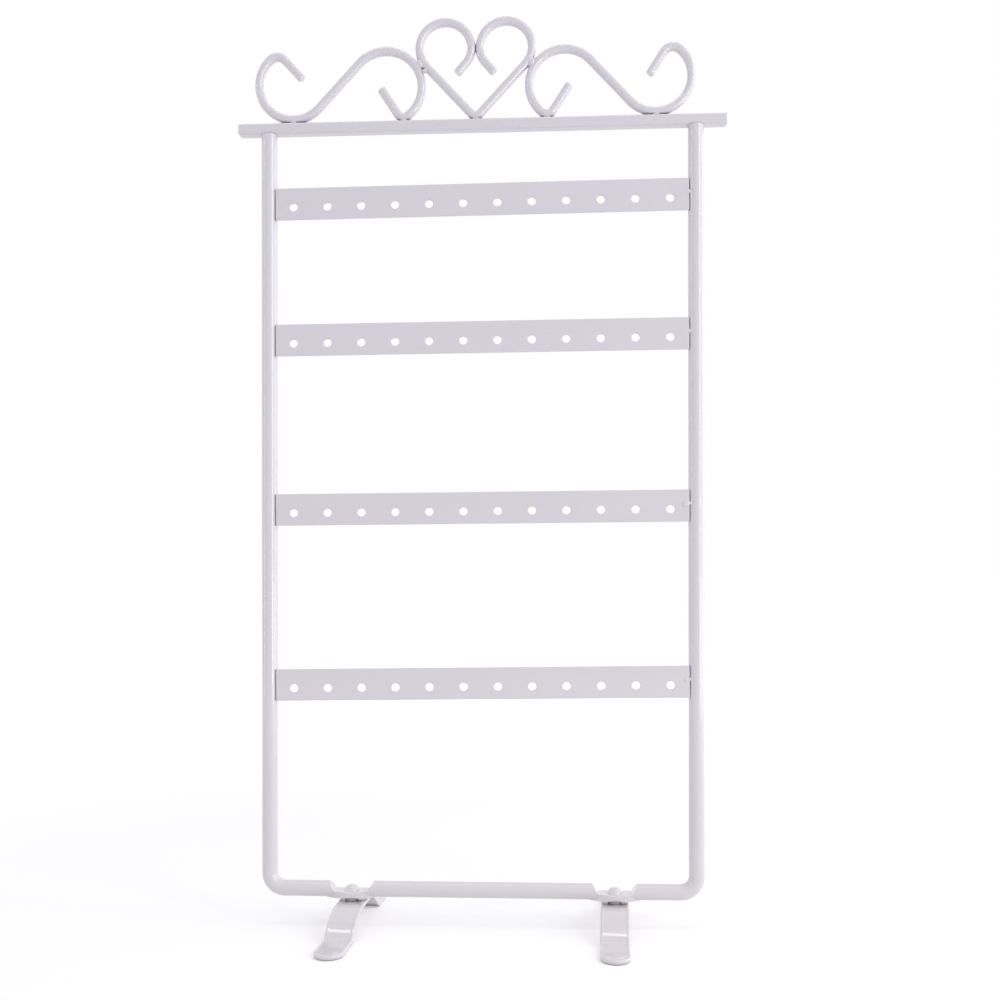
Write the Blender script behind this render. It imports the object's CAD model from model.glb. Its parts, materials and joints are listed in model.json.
import json
import math

import bmesh
import bpy
from mathutils import Matrix, Vector, noise


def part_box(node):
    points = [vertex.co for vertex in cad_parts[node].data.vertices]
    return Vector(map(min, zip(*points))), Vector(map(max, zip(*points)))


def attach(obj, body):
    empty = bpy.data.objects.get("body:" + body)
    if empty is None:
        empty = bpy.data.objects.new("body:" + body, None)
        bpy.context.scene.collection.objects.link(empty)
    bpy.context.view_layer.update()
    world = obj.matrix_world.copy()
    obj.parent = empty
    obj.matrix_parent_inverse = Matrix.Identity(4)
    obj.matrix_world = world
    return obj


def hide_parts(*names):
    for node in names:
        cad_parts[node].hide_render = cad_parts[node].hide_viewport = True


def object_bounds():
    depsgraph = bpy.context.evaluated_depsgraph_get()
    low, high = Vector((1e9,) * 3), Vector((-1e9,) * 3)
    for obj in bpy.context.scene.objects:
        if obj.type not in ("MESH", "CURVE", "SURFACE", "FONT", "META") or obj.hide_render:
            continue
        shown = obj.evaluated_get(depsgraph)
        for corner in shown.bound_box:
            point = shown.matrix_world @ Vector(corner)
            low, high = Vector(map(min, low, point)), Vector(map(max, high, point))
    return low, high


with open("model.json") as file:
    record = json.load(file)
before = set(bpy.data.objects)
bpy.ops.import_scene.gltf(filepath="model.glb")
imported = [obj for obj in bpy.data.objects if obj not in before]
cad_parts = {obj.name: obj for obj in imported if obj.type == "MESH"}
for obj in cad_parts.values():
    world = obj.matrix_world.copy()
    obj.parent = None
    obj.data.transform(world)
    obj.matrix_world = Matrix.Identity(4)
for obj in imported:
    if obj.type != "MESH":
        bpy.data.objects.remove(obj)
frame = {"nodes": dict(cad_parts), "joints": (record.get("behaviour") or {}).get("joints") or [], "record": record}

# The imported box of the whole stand, kept to compare with the dressed one at the end.
cad_low, cad_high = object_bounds()

# Camera
# The photograph was taken from close by, a little to the right of the middle and about a third
# of the way up, with the lens shifted upward so that the posts stay upright.
lens_px = 1012
frame_px = 1000
sensor_mm = 36
shift_px = 108
eye = Vector((0.0218, -0.330, 0.1035))
yaw, pitch, roll = math.radians(2.71), math.radians(0.05), math.radians(0.06)

camera_data = bpy.data.cameras.new("photo_camera")
camera_data.sensor_width = sensor_mm
camera_data.lens = sensor_mm * lens_px / frame_px
camera_data.shift_y = shift_px / frame_px
camera_data.clip_start = 0.01
camera_data.clip_end = 20
camera = bpy.data.objects.new("photo_camera", camera_data)
camera.location = eye
camera.rotation_euler = (math.pi / 2 + pitch, roll, yaw)
bpy.context.collection.objects.link(camera)
bpy.context.scene.camera = camera
bpy.context.scene.view_settings.view_transform = "Standard"


# Table
# A plain white sheet that runs out of sight. It takes the stand's own shadows, and seen from
# the camera it is lifted to the white of the backdrop, more where the lamps no longer reach.
def node(tree, kind, **inputs):
    """Adds a shader node and sets its sockets by name."""
    made = tree.nodes.new(kind)
    for name, value in inputs.items():
        made.inputs[name.replace("_", " ")].default_value = value
    return made


def white_to_the_eye(tree, seen, lit):
    """Shows one shader to the camera and to gloss and glass, and the other to everything else."""
    path = tree.nodes.new("ShaderNodeLightPath")
    gloss = tree.nodes.new("ShaderNodeMath")
    gloss.operation = "MAXIMUM"
    either = tree.nodes.new("ShaderNodeMath")
    either.operation = "MAXIMUM"
    mix = tree.nodes.new("ShaderNodeMixShader")
    tree.links.new(path.outputs["Is Camera Ray"], gloss.inputs[0])
    tree.links.new(path.outputs["Is Glossy Ray"], gloss.inputs[1])
    tree.links.new(gloss.outputs[0], either.inputs[0])
    tree.links.new(path.outputs["Is Transmission Ray"], either.inputs[1])
    tree.links.new(either.outputs[0], mix.inputs[0])
    tree.links.new(lit, mix.inputs[1])
    tree.links.new(seen, mix.inputs[2])
    return mix.outputs[0]


table_size = 6
near_lift, far_lift = 0.33, 0.56
near_m, far_m = 0.2, 0.8
table_mesh = bpy.data.meshes.new("table")
table_bm = bmesh.new()
bmesh.ops.create_grid(table_bm, x_segments=2, y_segments=2, size=table_size / 2)
table_bm.to_mesh(table_mesh)
table_bm.free()
table = bpy.data.objects.new("table", table_mesh)
bpy.context.collection.objects.link(table)
table_paint = bpy.data.materials.new("table_white")
table_paint.use_nodes = True
tree = table_paint.node_tree
tree.nodes.clear()
sheet = node(tree, "ShaderNodeBsdfDiffuse", Color=(0.86, 0.855, 0.87, 1))
lift = node(tree, "ShaderNodeEmission", Color=(1, 1, 1, 1))
spot = tree.nodes.new("ShaderNodeTexCoord")
away = tree.nodes.new("ShaderNodeVectorMath")
away.operation = "LENGTH"
fade = node(tree, "ShaderNodeMapRange", From_Min=near_m, From_Max=far_m,
            To_Min=near_lift, To_Max=far_lift)
tree.links.new(spot.outputs["Object"], away.inputs[0])
tree.links.new(away.outputs["Value"], fade.inputs["Value"])
tree.links.new(fade.outputs["Result"], lift.inputs["Strength"])
both = tree.nodes.new("ShaderNodeAddShader")
table_out = tree.nodes.new("ShaderNodeOutputMaterial")
tree.links.new(sheet.outputs[0], both.inputs[0])
tree.links.new(lift.outputs[0], both.inputs[1])
table_look = white_to_the_eye(tree, both.outputs[0], sheet.outputs[0])
tree.links.new(table_look, table_out.inputs["Surface"])
table_mesh.materials.append(table_paint)

# Light
# A white studio: even light from all round, a tall window in front at the right and a bright wall
# further round, a low card at the table's right, a narrow box overhead for the line of light on
# the bar and the rail, and one at the left for the faint streak down each post.
studio_light = 0.58
studio_tint = (0.985, 0.98, 1.0, 1)
world = bpy.data.worlds.new("white_studio")
bpy.context.scene.world = world
world.use_nodes = True
tree = world.node_tree
tree.nodes.clear()
backdrop = node(tree, "ShaderNodeBackground", Color=(1, 1, 1, 1), Strength=1)
around = node(tree, "ShaderNodeBackground", Color=studio_tint, Strength=studio_light)
world_out = tree.nodes.new("ShaderNodeOutputWorld")
studio_look = white_to_the_eye(tree, backdrop.outputs[0], around.outputs[0])
tree.links.new(studio_look, world_out.inputs["Surface"])


def studio_lamp(name, bearing, distance, height, width, tall, watts, tint):
    """A rectangular lamp at a bearing from the front of the stand, positive to the right."""
    data = bpy.data.lights.new(name, "AREA")
    data.shape = "RECTANGLE"
    data.size, data.size_y = width, tall
    data.energy = watts
    data.color = tint
    lamp = bpy.data.objects.new(name, data)
    turn = math.radians(bearing)
    lamp.location = (distance * math.sin(turn), -distance * math.cos(turn), height)
    aim = Vector((0, 0, (cad_low.z + cad_high.z) / 2)) - lamp.location
    lamp.rotation_euler = aim.to_track_quat("-Z", "Y").to_euler()
    bpy.context.collection.objects.link(lamp)


warm_white, plain_white, cool_white = (1, 0.99, 0.98), (1, 1, 1), (0.97, 0.98, 1)
studio_lamp("tall_window", 50, distance=0.9, height=0.33, width=0.26, tall=0.9,
            watts=2.2, tint=warm_white)
studio_lamp("right_wall", 100, distance=1.0, height=0.4, width=1.0, tall=1.4,
            watts=3.8, tint=warm_white)
studio_lamp("low_card", 70, distance=0.6, height=0.07, width=0.6, tall=0.12,
            watts=0.2, tint=plain_white)
studio_lamp("left_streak", -72.5, distance=0.9, height=0.33, width=0.06, tall=0.7,
            watts=0.6, tint=cool_white)
studio_lamp("overhead_box", 0, distance=0.06, height=1.25, width=1.0, tall=0.12,
            watts=1.1, tint=warm_white)


# Frame rod
# A round steel rod bent to a U and pressed flat at two places for the feet. Its coat is a white
# stoving enamel, thick and glossy, with a faint orange peel and a cool lilac cast.
low_white = (0.825, 0.78, 0.825)
high_white = (0.77, 0.745, 0.815)
coat_top = cad_high.z
peel_strength = 0.06
peel_deep = 0.000004
wear_scale = 260


def enamel(name, peel_mm=2.8, rough=0.09, cloud_mm=30, crevice_mm=1.2, crevice_shade=0.5):
    """White enamel, warmer low down, with a drifting tone, dark crevices and a faint peel."""
    made = bpy.data.materials.new(name)
    made.use_nodes = True
    tree = made.node_tree
    skin = tree.nodes["Principled BSDF"]
    skin.inputs["IOR"].default_value = 1.5
    skin.inputs["Coat Weight"].default_value = 1
    skin.inputs["Coat Roughness"].default_value = 0.03
    where = tree.nodes.new("ShaderNodeTexCoord")

    clouds = node(tree, "ShaderNodeTexNoise", Scale=1000 / cloud_mm, Detail=3, Roughness=0.55)
    tone = tree.nodes.new("ShaderNodeValToRGB")
    cool, warm = tone.color_ramp.elements
    cool.position, warm.position = 0.32, 0.68
    cool.color = (0.98, 0.98, 1, 1)
    warm.color = (1, 0.99, 0.99, 1)
    tree.links.new(where.outputs["Object"], clouds.inputs["Vector"])
    tree.links.new(clouds.outputs["Fac"], tone.inputs["Fac"])

    place = tree.nodes.new("ShaderNodeSeparateXYZ")
    height = node(tree, "ShaderNodeMapRange", From_Min=0, From_Max=coat_top)
    body = tree.nodes.new("ShaderNodeMix")
    body.data_type = "RGBA"
    body.inputs["A"].default_value = (*low_white, 1)
    body.inputs["B"].default_value = (*high_white, 1)
    tree.links.new(where.outputs["Object"], place.inputs["Vector"])
    tree.links.new(place.outputs["Z"], height.inputs["Value"])
    tree.links.new(height.outputs["Result"], body.inputs["Factor"])
    drift = tree.nodes.new("ShaderNodeMix")
    drift.data_type = "RGBA"
    drift.blend_type = "MULTIPLY"
    drift.inputs["Factor"].default_value = 1
    tree.links.new(body.outputs["Result"], drift.inputs["A"])
    tree.links.new(tone.outputs["Color"], drift.inputs["B"])

    crevice = node(tree, "ShaderNodeAmbientOcclusion", Distance=crevice_mm / 1000)
    crevice.samples = 8
    pooled = node(tree, "ShaderNodeMapRange", From_Min=0.25, From_Max=0.75,
                  To_Min=crevice_shade, To_Max=1)
    shaded = tree.nodes.new("ShaderNodeMix")
    shaded.data_type = "RGBA"
    shaded.blend_type = "MULTIPLY"
    shaded.inputs["Factor"].default_value = 1
    tree.links.new(crevice.outputs["AO"], pooled.inputs["Value"])
    tree.links.new(drift.outputs["Result"], shaded.inputs["A"])
    tree.links.new(pooled.outputs["Result"], shaded.inputs["B"])
    tree.links.new(shaded.outputs["Result"], skin.inputs["Base Color"])

    wear = node(tree, "ShaderNodeTexNoise", Scale=wear_scale, Detail=4, Roughness=0.6)
    gloss = node(tree, "ShaderNodeMapRange", To_Min=rough * 0.8, To_Max=rough * 1.3)
    tree.links.new(where.outputs["Object"], wear.inputs["Vector"])
    tree.links.new(wear.outputs["Fac"], gloss.inputs["Value"])
    tree.links.new(gloss.outputs["Result"], skin.inputs["Roughness"])

    peel = node(tree, "ShaderNodeTexNoise", Scale=1000 / peel_mm, Detail=2, Roughness=0.4)
    dents = node(tree, "ShaderNodeBump", Strength=peel_strength, Distance=peel_deep)
    tree.links.new(where.outputs["Object"], peel.inputs["Vector"])
    tree.links.new(peel.outputs["Fac"], dents.inputs["Height"])
    tree.links.new(dents.outputs["Normal"], skin.inputs["Normal"])
    return made


def coat(piece, paint):
    """Puts one paint on a piece."""
    piece.data.materials.clear()
    piece.data.materials.append(paint)


coat(frame["nodes"]["frame_rod"], enamel("rod_enamel"))


# Top bar
# A square bar with rounded edges and ends, laid across the cut tops of the rod and welded. The
# coat has filled its corners, so the light runs along them in a soft line.
def placed(name, bm):
    """Makes a smooth piece of a finished mesh, and frees the room that the mesh was built in."""
    mesh = bpy.data.meshes.new(name)
    bm.normal_update()
    bm.to_mesh(mesh)
    bm.free()
    mesh.shade_smooth()
    piece = bpy.data.objects.new(name, mesh)
    bpy.context.collection.objects.link(piece)
    return piece


def on_body(piece, body, *nodes):
    """Lets a piece ride on a body in the place of the solids that it stands for."""
    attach(piece, body)
    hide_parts(*nodes)


def uneven(bm, depth, reach, seed):
    """Moves each point a little along its normal, as a thick coat dries uneven."""
    bm.normal_update()
    for v in bm.verts:
        v.co += v.normal * depth * noise.noise(v.co / reach + Vector((seed, 0, 0)))


bar_low, bar_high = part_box("top_bar")
bar_edge_r = 0.0009
bar_slices = 64
bar_bm = bmesh.new()
bmesh.ops.create_cube(bar_bm, size=1)
bmesh.ops.scale(bar_bm, vec=Vector(bar_high) - Vector(bar_low), verts=bar_bm.verts)
bmesh.ops.translate(bar_bm, vec=(Vector(bar_high) + Vector(bar_low)) / 2, verts=bar_bm.verts)
bmesh.ops.bevel(bar_bm, geom=bar_bm.edges[:], offset=bar_edge_r, segments=6, profile=0.5,
                affect="EDGES")
for i in range(1, bar_slices):
    cut = bar_low[0] + bar_edge_r + (bar_high[0] - bar_low[0] - 2 * bar_edge_r) * i / bar_slices
    bmesh.ops.bisect_plane(bar_bm, geom=bar_bm.verts[:] + bar_bm.edges[:] + bar_bm.faces[:],
                           plane_co=(cut, 0, 0), plane_no=(1, 0, 0))
uneven(bar_bm, depth=0.00004, reach=0.012, seed=3)
bar = placed("square_bar", bar_bm)
bar.modifiers.new("flats", "WEIGHTED_NORMAL")
coat(bar, enamel("bar_enamel", cloud_mm=45))
on_body(bar, "stand", "top_bar")

# Earring strips
# Four flat steel strips, punched with a row of holes for the hooks and spot welded between the
# posts. The coat rounds every edge and hole, and drops of weld stand at the ends.
mounts = {m["name"]: Vector(m["pos_m"]) for m in frame["record"]["mounts"]}
strip_t, strip_h = 0.001, 0.0104
hole_r = 0.0013
hole_drop = 0.0011
strip_round = 0.0003
strip_corner = 0.0004
strip_y = -0.0013
strip_set = 0.0008
strip_reach = 0.0001
hole_n = 12
hole_sides = 40
hump_r = {"lower_strip": 0.0012, "bottom_strip": 0.0007}
hump_in, hump_up, hump_flat = 0.0012, 0.0006, 0.3
end_drops = ((-1, 0.0006, 0.0011), (1, -0.0012, 0.0007))
drop_out, drop_up = 0.0001, 0.0008


def ring(curve, points, hole):
    """Adds one closed outline to a flat curve, turned the other way round for a hole."""
    spline = curve.splines.new("POLY")
    spline.use_cyclic_u = True
    order = points[::-1] if hole else points
    spline.points.add(len(order) - 1)
    for made, (x, y) in zip(spline.points, order):
        made.co = (x, y, 0, 1)


def circle_points(x, y, r, n):
    """A circle of n points, counter-clockwise."""
    turns = [2 * math.pi * i / n for i in range(n)]
    return [(x + r * math.cos(turn), y + r * math.sin(turn)) for turn in turns]


def corner_points(half_w, half_h, r, n=5):
    """A rectangle with rounded corners, counter-clockwise."""
    points = []
    for quarter, (sx, sy) in enumerate(((1, 1), (-1, 1), (-1, -1), (1, -1))):
        for i in range(n + 1):
            turn = math.pi / 2 * (quarter + i / n)
            points.append((sx * (half_w - r) + r * math.cos(turn),
                           sy * (half_h - r) + r * math.sin(turn)))
    return points


def weld_drop(bm, place, radius, flat, lean=(0, 1, 0)):
    """Adds a rounded bead of weld under its coat, flattened along one direction."""
    made = bmesh.ops.create_icosphere(bm, subdivisions=4, radius=radius)
    squeeze = Matrix.Scale(flat, 4, Vector(lean))
    bmesh.ops.transform(bm, matrix=Matrix.Translation(place) @ squeeze, verts=made["verts"])


rod_r = 0.0026
post_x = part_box("frame_rod")[1][0] - rod_r
strip_half = post_x - math.sqrt(rod_r ** 2 - strip_set ** 2) + strip_reach
for strip in ("top_strip", "upper_strip", "lower_strip", "bottom_strip"):
    first, last = mounts[strip + "_hole_01"], mounts[strip + "_hole_12"]
    slope = math.atan2(last.z - first.z, last.x - first.x)
    pitch_x = (last - first).length / (hole_n - 1)
    middle = (first + last) / 2
    flat = bpy.data.curves.new(strip + "_outline", "CURVE")
    flat.dimensions = "2D"
    flat.fill_mode = "BOTH"
    flat.extrude = strip_t / 2 - strip_round
    flat.bevel_depth = strip_round
    flat.bevel_resolution = 3
    flat.offset = -strip_round
    ring(flat, corner_points(strip_half, strip_h / 2, strip_corner), False)
    for i in range(hole_n):
        hole_x = (i - (hole_n - 1) / 2) * pitch_x
        ring(flat, circle_points(hole_x, -hole_drop, hole_r, hole_sides), True)
    shape = bpy.data.objects.new(strip + "_flat", flat)
    mesh = bpy.data.meshes.new_from_object(shape)
    bpy.data.objects.remove(shape)
    bm = bmesh.new()
    bm.from_mesh(mesh)
    bpy.data.meshes.remove(mesh)
    bmesh.ops.remove_doubles(bm, verts=bm.verts, dist=1e-6)
    stand_up = Matrix.Rotation(math.pi / 2, 4, "X")
    tilt = Matrix.Rotation(-slope, 4, "Y")
    centre = Vector((middle.x, strip_y, middle.z)) + tilt @ Vector((0, 0, hole_drop))
    bmesh.ops.transform(bm, matrix=Matrix.Translation(centre) @ tilt @ stand_up, verts=bm.verts)
    front = strip_y - strip_t / 2
    if strip in hump_r:
        hump = tilt @ Vector((strip_half - hump_in, 0, hump_up))
        weld_drop(bm, hump + Vector((centre.x, front, centre.z)), hump_r[strip], hump_flat)
    for side, depth, radius in end_drops:
        end = tilt @ Vector((side * (strip_half + drop_out), 0, drop_up))
        weld_drop(bm, end + Vector((centre.x, depth, centre.z)), radius, 1)
    piece = placed("punched_" + strip, bm)
    piece.modifiers.new("flats", "WEIGHTED_NORMAL")
    coat(piece, enamel(strip + "_enamel", peel_mm=3, crevice_mm=0.8, crevice_shade=0.35))
    on_body(piece, "stand", strip)

# Scroll ornament
# Three bent steel wires, welded to the bar and to each other: a heart with its ends curled in, and
# a double scroll at each side of it. A drop of weld has run into the crook where the left scroll
# meets the heart.
lump_place = Vector((-0.0180, -0.0007, 0.2794))
lump_r = 0.0009
for wire in ("heart", "right_scroll"):
    coat(frame["nodes"][wire], enamel(wire + "_enamel", crevice_shade=0.35))

lump_bm = bmesh.new()
weld_drop(lump_bm, lump_place, lump_r, flat=0.8, lean=(1, 0, 1))
uneven(lump_bm, depth=0.0002, reach=0.0008, seed=5)
lump = placed("scroll_weld", lump_bm)
welded = frame["nodes"]["left_scroll"].copy()
welded.data = welded.data.copy()
welded.name = "welded_left_scroll"
bpy.context.collection.objects.link(welded)
joining = [welded, lump]
with bpy.context.temp_override(active_object=welded, selected_editable_objects=joining):
    bpy.ops.object.join()
coat(welded, enamel("left_scroll_enamel", crevice_shade=0.35))
on_body(welded, "stand", "left_scroll")

# Rivets and washers
# A domed steel rivet holds each foot. It passes through the pressed seat of the rod, a washer and
# the foot, and its tail is set below. They are enamelled with the rest.
for part in ("left_rivet", "right_rivet", "left_washer", "right_washer"):
    paint = enamel(part + "_enamel", rough=0.06, crevice_mm=1.5, crevice_shade=0.2)
    coat(frame["nodes"][part], paint)

# Feet
# Each foot is one strip of spring steel, pressed to a bow with a flat crown and flat round toes,
# and turns on its rivet. The coat stands fat along its edges, which draws a double line of light
# down each side, and a line of the press tool crosses each toe.
foot_len, foot_w, foot_t, foot_h = 0.071, 0.0091, 0.0014, 0.0081
crown_half = 0.004
leg_r, toe_r = 0.0223, 0.0019
leg_turn = math.acos(1 - (foot_h - foot_t) / (leg_r + toe_r))
leg_run = leg_r * leg_turn
heel_run = toe_r * leg_turn
toe_len = foot_len / 2 - crown_half - (leg_r + toe_r) * math.sin(leg_turn)
foot_edge = 0.00045
bead_rise, bead_in, bead_wide = 0.0001, 0.0006, 0.00022
crease_back, crease_rise, crease_wide = 0.0003, 0.00006, 0.00016
bore_r = 0.00155
left_hole_off = 0.0004
edge_steps = 7
toe_steps = 28
edge_insets = (0.0036, 0.0026, 0.0018, 0.0013, 0.0011, 0.00095, 0.00085, 0.00078, 0.00071,
               0.00065, 0.0006, 0.00055, 0.0005)


def bowed(run):
    """Reach, height and lean of the strip's middle line at a distance from the crown."""
    side = -1 if run < 0 else 1
    run = abs(run)
    top = foot_h - foot_t / 2
    if run <= crown_half:
        return side * run, top, 0
    if run <= crown_half + leg_run:
        turn = (run - crown_half) / leg_r
        reach = crown_half + leg_r * math.sin(turn)
        return side * reach, top - leg_r * (1 - math.cos(turn)), side * turn
    x = crown_half + leg_r * math.sin(leg_turn)
    z = top - leg_r * (1 - math.cos(leg_turn))
    if run <= crown_half + leg_run + heel_run:
        left = leg_turn - (run - crown_half - leg_run) / toe_r
        reach = x + toe_r * (math.sin(leg_turn) - math.sin(left))
        return side * reach, z - toe_r * (math.cos(left) - math.cos(leg_turn)), side * left
    reach = x + toe_r * math.sin(leg_turn) + run - crown_half - leg_run - heel_run
    return side * reach, foot_t / 2, 0


def foot_stations():
    """Distances along the strip: close where it bends, wide where it is flat."""
    marks = [0.0]
    flat_toe = toe_len - foot_w / 2
    for stretch, parts in ((crown_half, 8), (leg_run, 40), (heel_run, 10), (flat_toe, 16)):
        start = marks[-1]
        marks += [start + stretch * (i + 1) / parts for i in range(parts)]
    crease = crown_half + leg_run + heel_run + crease_back
    marks += [crease + crease_wide * step / 2 for step in range(-4, 5)]
    marks.sort()
    return [-m for m in marks[:0:-1]] + marks


def foot_mesh():
    """The bowed strip as loops from its spine out over the rounded edge, above and below."""
    stations = foot_stations()
    rim = []
    for inset in (foot_w / 2, *edge_insets, foot_edge):
        lift = bead_rise * math.exp(-((inset - bead_in) / bead_wide) ** 2)
        rim.append((inset, foot_t / 2 + lift))
    for i in range(1, edge_steps + 1):
        turn = math.pi / 2 * i / edge_steps
        height = foot_t / 2 - foot_edge * (1 - math.cos(turn)) + lift * math.cos(turn)
        rim.append((foot_edge * (1 - math.sin(turn)), height))
    rim += [(inset, -height) for inset, height in rim[::-1]]
    bm = bmesh.new()
    loops = []
    for inset, height in rim:
        half = foot_w / 2 - inset
        outline = [(s, half) for s in stations]
        end = stations[-1]
        turns = [math.pi * i / toe_steps for i in range(1, toe_steps)]
        outline += [(end + half * math.sin(turn), half * math.cos(turn)) for turn in turns]
        outline += [(s, -half) for s in stations[::-1]]
        outline += [(-end - half * math.sin(turn), -half * math.cos(turn)) for turn in turns]
        loop = []
        for run, across in outline:
            reach, z, lean = bowed(run)
            off = (abs(run) - crown_half - leg_run - heel_run - crease_back) / crease_wide
            rise = crease_rise * math.exp(-off ** 2) if height > 0 else 0
            out = height + rise
            place = (across, reach + out * math.sin(lean), z + out * math.cos(lean))
            loop.append(bm.verts.new(place))
        loops.append(loop)
    for upper, lower in zip(loops, loops[1:]):
        for i in range(len(upper)):
            j = (i + 1) % len(upper)
            bm.faces.new((upper[i], upper[j], lower[j], lower[i]))
    bmesh.ops.remove_doubles(bm, verts=bm.verts, dist=1e-7)
    bmesh.ops.dissolve_degenerate(bm, edges=bm.edges, dist=1e-7)
    bmesh.ops.recalc_face_normals(bm, faces=bm.faces)
    return bm


def punched(piece, place, radius, depth):
    """Cuts a round hole upright through a piece."""
    punch_bm = bmesh.new()
    bmesh.ops.create_cone(punch_bm, cap_ends=True, segments=48, radius1=radius, radius2=radius,
                          depth=depth)
    bmesh.ops.translate(punch_bm, vec=place, verts=punch_bm.verts)
    punch = placed("punch", punch_bm)
    cut = piece.modifiers.new("bore", "BOOLEAN")
    cut.operation = "DIFFERENCE"
    cut.object = punch
    shape = bpy.context.evaluated_depsgraph_get()
    mesh = bpy.data.meshes.new_from_object(piece.evaluated_get(shape))
    piece.modifiers.clear()
    piece.data = mesh
    bpy.data.objects.remove(punch)


pivots = {j["child"]: Vector(j["pos_m"]) for j in frame["joints"]}
for foot in ("left_foot", "right_foot"):
    pivot = pivots[foot]
    toe = mounts[foot.replace("foot", "front_toe")]
    hole_off = left_hole_off if foot == "left_foot" else 0
    aim = toe - pivot
    reach = math.hypot(aim.x, aim.y)
    turn = math.atan2(aim.x, -aim.y) + math.asin(-hole_off / reach)
    bm = foot_mesh()
    uneven(bm, depth=0.00003, reach=0.006, seed=7)
    for v in bm.verts:
        v.co.z = max(v.co.z, 0)
    swing = Matrix.Rotation(turn, 4, "Z")
    bmesh.ops.transform(bm, matrix=Matrix.Translation((pivot.x, pivot.y, 0)) @ swing
                        @ Matrix.Translation((hole_off, 0, 0)), verts=bm.verts)
    piece = placed("bowed_" + foot, bm)
    punched(piece, (pivot.x, pivot.y, foot_h), bore_r, 4 * foot_t)
    coat(piece, enamel(foot + "_enamel", peel_mm=3, crevice_mm=2, crevice_shade=0.25))
    on_body(piece, foot, foot)
